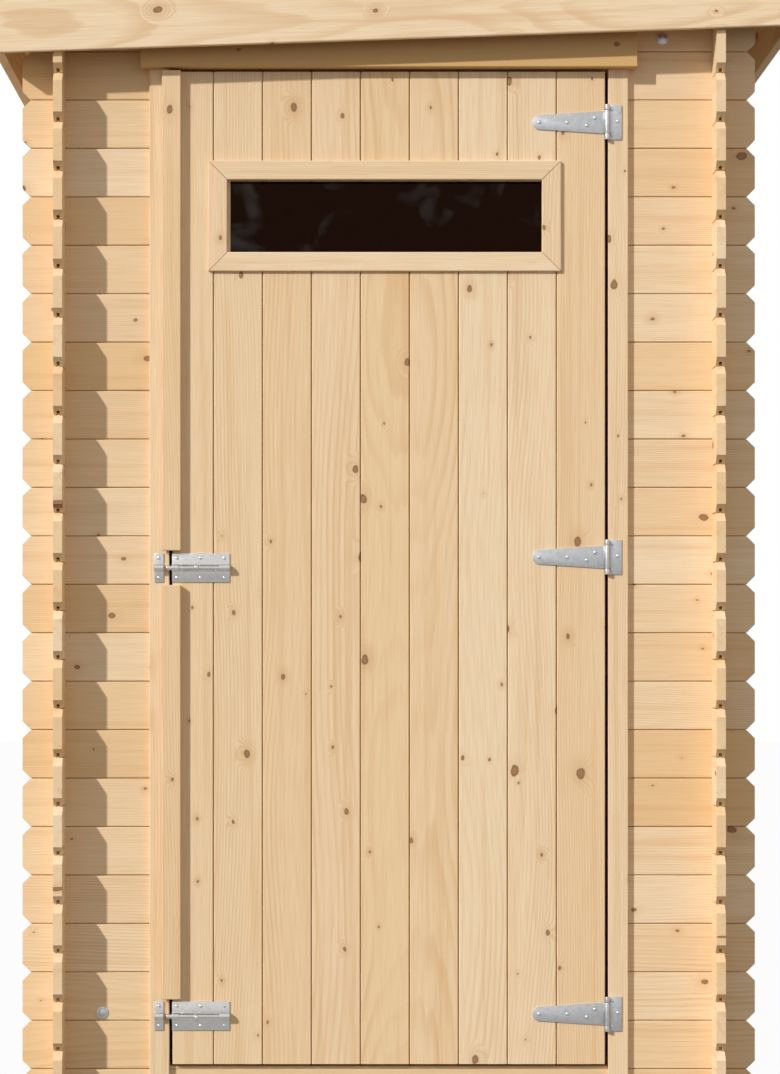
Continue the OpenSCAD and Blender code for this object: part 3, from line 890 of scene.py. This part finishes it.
@dataclass
class Door:
    """The ledged door: upright tongued boards, ledges, cover strips and a mitred light."""

    shop: Joinery
    cover: float = 86.8 * MM
    bar: float = 34 * MM
    bar_ease: float = 1.8 * MM
    mitre_gap: float = 0.6 * MM
    rebate: float = 5 * MM
    ledge_height: float = 80 * MM

    def build(self) -> None:
        """Builds the wooden pieces and the clear sheet."""
        self._boards()
        low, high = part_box("door_ledges")
        height = self.ledge_height
        middle = (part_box("middle_hinge_strap")[0].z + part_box("middle_hinge_strap")[1].z) / 2
        ledges = [
            self.shop.plank((low.x, low.y, z), (high.x, high.y, z + height), Lay.FRONT, ease=3 * MM)
            for z in (low.z, middle - height / 2, high.z - height)
        ]
        self.shop.place_piece("door_ledges.boards", ledges, Slot.SPRUCE, "door", ["door_ledges"])
        for node in ("upper_cover_strip", "lower_cover_strip"):
            self._strip(node)
        for node in ("light_frame_outside", "light_frame_inside"):
            self._frame(node)
        low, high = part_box("light_glass")
        sheet = slab(low, high, 0.3 * MM)
        self.shop.place_piece("light_glass.sheet", [sheet], Slot.GLAZING, "door", ["light_glass"])

    def _boards(self) -> None:
        """Builds the upright boards, cut round the light."""
        low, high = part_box("door_boards")
        frame_low, frame_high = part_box("light_frame_outside")
        hole = (frame_low.x + self.bar, frame_high.x - self.bar,
                frame_low.z + self.bar, frame_high.z - self.bar)
        boards = []
        right = high.x
        while right > low.x + 1 * MM:
            left = max(right - self.cover, low.x)
            place = self.shop.log_place()
            for length, cover in self._around(hole, (low.z, high.z), (left, right)):
                boards.append(self.shop.tongued_board(
                    length, cover, (low.y, high.y), Lay.UPRIGHT, groove=cover[0] > low.x + 1 * MM,
                    tongue=cover[1] < high.x - 1 * MM, gap=0.9 * MM, place=place))
            right = left
        self.shop.place_piece("door_boards.boards", boards, Slot.SPRUCE, "door", ["door_boards"])

    @staticmethod
    def _around(hole: Sequence[float], length: Pair,
                cover: Pair) -> list[tuple[Pair, Pair]]:
        """Splits one board round the hole.

        Args:
            hole: left, right, low and high edge of the hole.
            length: foot and top of the board.
            cover: left and right seam of the board.

        Returns:
            Pairs of length and cover for each piece.
        """
        if cover[1] <= hole[0] or cover[0] >= hole[1]:
            return [(length, cover)]
        pieces = [((length[0], hole[2]), cover), ((hole[3], length[1]), cover)]
        if cover[0] < hole[0]:
            pieces.append(((hole[2], hole[3]), (cover[0], hole[0])))
        if cover[1] > hole[1]:
            pieces.append(((hole[2], hole[3]), (hole[1], cover[1])))
        return pieces

    def _strip(self, node: str) -> None:
        """Builds a cover strip, rebated behind where it laps over the jamb."""
        low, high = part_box(node)
        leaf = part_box("door_boards")[0].x
        place = self.shop.log_place(heart=0.045)
        step = high.y - self.rebate
        front = self.shop.plank(low, (high.x, step, high.z), Lay.UPRIGHT, place=place)
        back = self.shop.plank((leaf, step - 1 * MM, low.z + 0.6 * MM),
                               (high.x - 0.1 * MM, high.y, high.z - 0.6 * MM), Lay.UPRIGHT, ease=0.3 * MM,
                               place=place)
        self.shop.place_piece(f"{node}.board", [front, back], Slot.SPRUCE, "door", [node])

    def _frame(self, node: str) -> None:
        """Builds four mitred bars round the light."""
        low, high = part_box(node)
        bars = []
        for upper in (False, True):
            edge, inner = (high.z, -1) if upper else (low.z, 1)
            z = high.z - self.bar if upper else low.z
            cuts = [
                (Vector((x - side * self.mitre_gap, 0, edge)), Vector((side, 0, inner)).normalized())
                for x, side in ((low.x, -1), (high.x, 1))
            ]
            bars.append(self.shop.plank((low.x, low.y, z), (high.x, high.y, z + self.bar), Lay.FRONT,
                                        cuts=cuts, ease=self.bar_ease))
        for right in (False, True):
            edge, inner = (high.x, -1) if right else (low.x, 1)
            x = high.x - self.bar if right else low.x
            cuts = [
                (Vector((edge, 0, z - side * self.mitre_gap)), Vector((inner, 0, side)).normalized())
                for z, side in ((low.z, -1), (high.z, 1))
            ]
            bars.append(self.shop.plank((x, low.y, low.z), (x + self.bar, high.y, high.z), Lay.UPRIGHT,
                                        cuts=cuts, ease=self.bar_ease))
        self.shop.place_piece(f"{node}.bars", bars, Slot.SPRUCE, "door", [node])


# ---------------------------------------------------------------- ironmongery


@dataclass
class Hinges:
    """Three strap hinges in galvanised steel."""

    shop: Joinery
    plate: float = 2 * MM
    tip_height: float = 25.6 * MM
    knuckle: float = 4.5 * MM
    pin: float = 2.5 * MM
    gap: float = 0.5 * MM
    round: float = 0.4 * MM
    strap_screws: tuple[Pair, ...] = ((0.09, 0.0), (0.47, 0.0), (0.73, -0.13), (0.84, 0.2))

    def build(self) -> None:
        """Builds the strap and the leaf of each hinge."""
        for level in ("top", "middle", "bottom"):
            self._strap(f"{level}_hinge_strap")
            self._leaf(f"{level}_hinge_leaf", f"{level}_hinge_strap")

    def _strap(self, node: str) -> None:
        """Builds a tapered strap with a round tip, its knuckle and four screws."""
        low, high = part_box(node)
        axis_x = high.x - self.knuckle
        axis_y = low.y + self.knuckle
        face = high.y
        centre = (low.z + high.z) / 2
        half_tip = self.tip_height / 2
        half_wide = (high.z - low.z) / 2
        tip_x = low.x + half_tip
        arc = [math.radians(90 + 180 * i / 16) for i in range(17)]
        outline = [(tip_x + half_tip * math.cos(a), centre + half_tip * math.sin(a)) for a in arc]
        outline += [(axis_x, centre - half_wide), (axis_x, centre + half_wide)]
        strap = extruded([(x, face, z) for x, z in outline], (0, -self.plate, 0))
        front = [e for e in strap.edges if all(v.co.y < face - self.plate / 2 for v in e.verts)]
        bmesh.ops.bevel(strap, geom=front, offset=self.round, segments=2, profile=0.5, affect="EDGES",
                        material=-1)
        roll = bar((axis_x, axis_y, low.z), (axis_x, axis_y, high.z), self.knuckle, 0.4 * MM)
        parts = [strap, roll]
        length = axis_x - low.x
        for share, lift in self.strap_screws:
            parts.append(screw((low.x + share * length, face - self.plate, centre + lift * 2 * half_wide)))
        self.shop.place_piece(f"{node}.plate", parts, Slot.GALVANISED, "door", [node], smooth=True)

    def _leaf(self, node: str, strap: str) -> None:
        """Builds the fixed leaf with its two knuckles, the pin and three screws."""
        low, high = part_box(node)
        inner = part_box(strap)
        axis_x = inner[1].x - self.knuckle
        axis_y = low.y + self.knuckle
        gap = self.gap
        front = high.y - self.plate
        parts = [slab((axis_x + self.knuckle + gap, front, low.z), high, self.round)]
        for z0, z1 in ((low.z, inner[0].z - gap), (inner[1].z + gap, high.z)):
            parts.append(bar((axis_x, axis_y, z0), (axis_x, axis_y, z1), self.knuckle, 0.4 * MM))
            parts.append(slab((axis_x, front, z0), (axis_x + self.knuckle + 2 * gap, high.y, z1), 0.3 * MM))
        parts.append(bar((axis_x, axis_y, low.z), (axis_x, axis_y, high.z), self.pin, 0.3 * MM))
        tall = high.z - low.z
        for x, share in ((axis_x + 8.5 * MM, 0.88), (high.x - 6.5 * MM, 0.53), (axis_x + 8.5 * MM, 0.14)):
            parts.append(screw((x, front, low.z + share * tall)))
        self.shop.place_piece(f"{node}.plate", parts, Slot.GALVANISED, "shed", [node], smooth=True)


@dataclass
class BarrelBolts:
    """Two barrel bolts in bright zinc: a plate with a slotted barrel, a rod with a knob, and a keeper."""

    shop: Joinery
    plate: float = 2 * MM
    bore: float = 4.4 * MM
    wall: float = 1.7 * MM
    rod: float = 4 * MM
    slot_start: float = 12 * MM
    slot_end: float = 84 * MM
    slot_angle: float = 48
    rib_width: float = 4 * MM
    rib_out: float = 5.0 * MM
    rib_half: float = 1.6 * MM
    knob_back: float = 54 * MM
    screw_lift: float = 0.34

    def build(self) -> None:
        """Builds both bolts."""
        for level in ("upper", "lower"):
            self._plate(f"{level}_bolt_plate", f"{level}_bolt_rod")
            self._keeper(f"{level}_bolt_keeper", f"{level}_bolt_rod")
            self._rod(f"{level}_bolt_rod")

    def _band(self, ends: Pair, axis: Pair, angles: Pair) -> Mesh:
        """Returns a stretch of the barrel.

        Args:
            ends: the two ends along X.
            axis: Y and Z of the rod.
            angles: the stretch of its round wall in degrees, where 0 faces forward and 90 is up.
        """
        outer = self.bore + self.wall
        band = bmesh.new()
        start = math.radians(angles[0])
        corners = [(ends[0], self.bore), (ends[1], self.bore), (ends[1], outer), (ends[0], outer)]
        face = band.faces.new([
            band.verts.new((x, axis[0] - r * math.cos(start), axis[1] + r * math.sin(start)))
            for x, r in corners
        ])
        steps = max(3, round(abs(angles[1] - angles[0]) / 9))
        bmesh.ops.spin(band, geom=[face] + list(face.edges) + list(face.verts), cent=(0, axis[0], axis[1]),
                       axis=(-1, 0, 0), angle=math.radians(angles[1] - angles[0]), steps=steps)
        bmesh.ops.recalc_face_normals(band, faces=band.faces)
        return band

    def _axis(self, rod: str) -> Pair:
        """Returns Y and Z of the rod's middle line, read from its node."""
        low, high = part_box(rod)
        return high.y - self.rod, (low.z + high.z) / 2

    def _feet(self, ends: Pair, axis: Pair, back: float) -> list[Mesh]:
        """Returns the two cheeks that join the barrel to its plate."""
        outer = self.bore + self.wall
        return [
            slab((ends[0], axis[0] - 0.5 * MM, axis[1] + side), (ends[1], back, axis[1] + side + self.wall),
                 0.3 * MM)
            for side in (self.bore, -outer)
        ]

    def _plate(self, node: str, rod: str) -> None:
        """Builds the plate on the door, with its slotted barrel and six screws."""
        low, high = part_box(node)
        axis = self._axis(rod)
        front = high.y - self.plate
        parts = [slab((low.x, front, low.z), high, 0.4 * MM)]
        slot = (low.x + self.slot_start, low.x + self.slot_end)
        stretches = (
            ((low.x, slot[0]), (-90, 90)), (slot, (-90, -self.slot_angle)),
            (slot, (self.slot_angle, 90)), ((slot[1], high.x), (-90, 90)),
        )
        parts += [self._band(ends, axis, angles) for ends, angles in stretches]
        for start in (low.x, slot[0] + self.rib_width, slot[1] - 2 * self.rib_width):
            parts += self._collar((start, start + self.rib_width), axis)
        parts += self._feet((low.x, high.x), axis, high.y)
        lift = self.screw_lift * (high.z - low.z)
        for share in (0.09, 0.5, 0.91):
            for side in (-1, 1):
                spot = (low.x + share * (high.x - low.x), front, axis[1] + side * lift)
                parts.append(screw(spot, radius=3.2 * MM))
        self.shop.place_piece(f"{node}.pressing", parts, Slot.BRIGHT, "door", [node], smooth=True)

    def _collar(self, ends: Pair, axis: Pair) -> list[Mesh]:
        """Returns a raised rib on each lip of the slot, as the pressing has."""
        return [
            slab(
                (ends[0], axis[0] - 3.5 * MM, axis[1] + side * self.rib_out - self.rib_half),
                (ends[1], axis[0] + 2 * MM, axis[1] + side * self.rib_out + self.rib_half), 0.6 * MM)
            for side in (1, -1)
        ]

    def _keeper(self, node: str, rod: str) -> None:
        """Builds the keeper on the jamb."""
        low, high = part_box(node)
        axis = self._axis(rod)
        front = high.y - self.plate
        parts = [slab((low.x, front, low.z), high, 0.4 * MM),
                 self._band((low.x, high.x), axis, (-90, 90))]
        parts += self._feet((low.x, high.x), axis, high.y)
        lift = self.screw_lift * (high.z - low.z)
        for side in (-1, 1):
            parts.append(screw(((low.x + high.x) / 2, front, axis[1] + side * lift), radius=3.2 * MM))
        self.shop.place_piece(f"{node}.pressing", parts, Slot.BRIGHT, "shed", [node], smooth=True)

    def _rod(self, node: str) -> None:
        """Builds the sliding rod with its turned knob."""
        low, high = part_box(node)
        axis = self._axis(node)
        knob_x = low.x + self.knob_back
        parts = [bar((low.x, axis[0], axis[1]), (high.x, axis[0], axis[1]), self.rod, 1.2 * MM)]
        parts.append(bar((knob_x, axis[0], axis[1]), (knob_x, low.y + 3 * MM, axis[1]), 2.4 * MM, 0.3 * MM))
        ball = bmesh.new()
        bmesh.ops.create_uvsphere(ball, u_segments=24, v_segments=16, radius=4.5 * MM)
        bmesh.ops.translate(ball, vec=(knob_x, low.y + 4.5 * MM, axis[1]), verts=ball.verts)
        parts.append(ball)
        body = node.replace("_rod", "")
        self.shop.place_piece(f"{node}.rod", parts, Slot.BRIGHT, body, [node], smooth=True)


@dataclass
class BattenBolts:
    """Coach bolts through the front wall, with a washer under each dome and a nut behind the batten."""

    shop: Joinery
    head: float = 10.5 * MM
    washer: float = 1.4 * MM

    def build(self) -> None:
        """Builds the three bolts where the frame has them."""
        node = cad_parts["batten_bolts"]
        heads: list[Vector] = []
        front = min(v.co.y for v in node.data.vertices)
        for vert in node.data.vertices:
            spot = Vector((vert.co.x, 0, vert.co.z))
            if vert.co.y < front + 0.5 * MM and all((spot - other).length > 3 * self.head for other in heads):
                heads.append(spot)
        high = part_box("batten_bolts")[1]
        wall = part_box("front_wall_left")[0].y
        parts = []
        for near in heads:
            ring = [v.co for v in node.data.vertices
                    if (Vector((v.co.x, 0, v.co.z)) - near).length < 3 * self.head]
            centre = Vector(((min(c.x for c in ring) + max(c.x for c in ring)) / 2, 0,
                             (min(c.z for c in ring) + max(c.z for c in ring)) / 2))
            parts += self._bolt(centre, wall, high.y)
        self.shop.place_piece("batten_bolts.bolts", parts, Slot.GALVANISED, "shed", ["batten_bolts"],
                              smooth=True)

    def _bolt(self, centre: Vector, wall: float, back: float) -> list[Mesh]:
        """Returns the washer, dome, shank and nut of one bolt."""
        x, z = centre.x, centre.z
        face = wall - self.washer
        washer = bar((x, wall, z), (x, face, z), self.head, 0.4 * MM)
        dome = screw((x, face, z), radius=7.2 * MM, height=2.6 * MM)
        shank = bar((x, wall, z), (x, back, z), 3 * MM, 0.5 * MM)
        nut = bar((x, back - 6 * MM, z), (x, back - 1.5 * MM, z), 6 * MM, 0.4 * MM, sides=6)
        return [washer, dome, shank, nut]


# ---------------------------------------------------------------- studio


@dataclass
class Studio:
    """Camera, lamps, floor and backdrop."""

    camera_place: Vector = field(default_factory=lambda: Vector((-0.0953, -5.260, 0.760)))
    lens: float = 91.2
    shift: Pair = (0.0512, 0.1192)
    sun_travel: Vector = field(default_factory=lambda: Vector((1.237, 1.0, -0.88)))
    sun_strength: float = 3.0
    fill: float = 0.58

    def place_camera(self) -> None:
        """Sets a level camera in front of the door, with a shifted lens."""
        data = bpy.data.cameras.new("camera")
        data.lens = self.lens
        data.shift_x, data.shift_y = self.shift
        data.clip_end = 60.0
        camera = bpy.data.objects.new("camera", data)
        camera.location = self.camera_place
        camera.rotation_euler = (math.pi / 2, 0.0, 0.0)
        bpy.context.scene.collection.objects.link(camera)
        bpy.context.scene.camera = camera

    def light(self) -> None:
        """Sets one key lamp from the upper left and a plain white world."""
        data = bpy.data.lights.new("key", "SUN")
        data.energy = self.sun_strength
        data.angle = math.radians(1.6)
        key = bpy.data.objects.new("key", data)
        key.rotation_euler = self.sun_travel.to_track_quat("-Z", "Y").to_euler()
        bpy.context.scene.collection.objects.link(key)
        world = bpy.data.worlds.new("studio")
        bpy.context.scene.world = world
        world.use_nodes = True
        tree = world.node_tree
        tree.nodes.clear()
        path = add_node(tree, "LightPath")
        seen = maths(tree, "MAXIMUM", path.outputs["Is Camera Ray"], path.outputs["Is Glossy Ray"])
        strength = add_node(tree, "MapRange", {
            "Value": seen, "To Min": self.fill, "To Max": 1.0,
        })
        sky = add_node(tree, "Background", {
            "Color": linear("ffffff"), "Strength": strength.outputs["Result"],
        })
        add_node(tree, "OutputWorld", {"Surface": sky.outputs["Background"]})
        bpy.context.scene.view_settings.view_transform = "Standard"

    def floor(self) -> None:
        """Lays a wide pale floor that keeps a soft shadow and fades to the white of the backdrop."""
        mesh = bpy.data.meshes.new("studio_floor")
        sheet = bmesh.new()
        bmesh.ops.create_circle(sheet, cap_ends=True, segments=96, radius=22.0)
        sheet.to_mesh(mesh)
        sheet.free()
        material = bpy.data.materials.new("studio_floor")
        material.use_nodes = True
        tree = material.node_tree
        tree.nodes.clear()
        paint = add_node(tree, "BsdfDiffuse", {"Color": linear("6f6c66")})
        glow = add_node(tree, "Emission", {"Color": linear("ffffff"), "Strength": 1.0})
        path = add_node(tree, "LightPath")
        glossy = maths(tree, "MULTIPLY", path.outputs["Is Glossy Ray"], 0.5)
        seen = maths(tree, "MAXIMUM", path.outputs["Is Camera Ray"], glossy)
        share = maths(tree, "MULTIPLY", seen, 0.97)
        both = add_node(tree, "MixShader", {
            0: share, 1: paint.outputs["BSDF"], 2: glow.outputs["Emission"],
        })
        add_node(tree, "OutputMaterial", {"Surface": both.outputs["Shader"]})
        mesh.materials.append(material)
        ground = bpy.data.objects.new("studio_floor", mesh)
        bpy.context.scene.collection.objects.link(ground)


def corners(bounds: Sequence[Vector]) -> list[list[float]]:
    """Returns two corners as plain lists of numbers."""
    return [[float(value) for value in corner] for corner in bounds]


def main() -> None:
    """Builds the shed piece by piece around the frame."""
    logging.basicConfig(level=logging.INFO, format="%(name)s: %(message)s")
    studio = Studio()
    studio.place_camera()
    shop = Joinery()
    shop.materials = {
        Slot.SPRUCE: PlanedSpruce().build(),
        Slot.JOIST: PlanedSpruce(name="sawn_joist", tones=("b9a878", "b0a070"), ring_tint="94804f",
                                 roughness=0.8).build(),
        Slot.FELT: MineralFelt().build(),
        Slot.GALVANISED: SteelFinish("galvanised_steel", "c3c4c6", "b1b2b4", 0.42, 4 * MM).build(),
        Slot.BRIGHT: SteelFinish("bright_zinc", "d3d2d0", "c6c5c3", 0.24, 3 * MM).build(),
        Slot.GLAZING: SmokedSheet().build(),
    }
    line = Roofline()
    Walls(shop, line).build()
    Trims(shop).build()
    Floor(shop).build()
    Roof(shop, line).build()
    Door(shop).build()
    Hinges(shop).build()
    BarrelBolts(shop).build()
    BattenBolts(shop).build()
    studio.light()
    studio.floor()


if __name__ == "__main__":
    main()
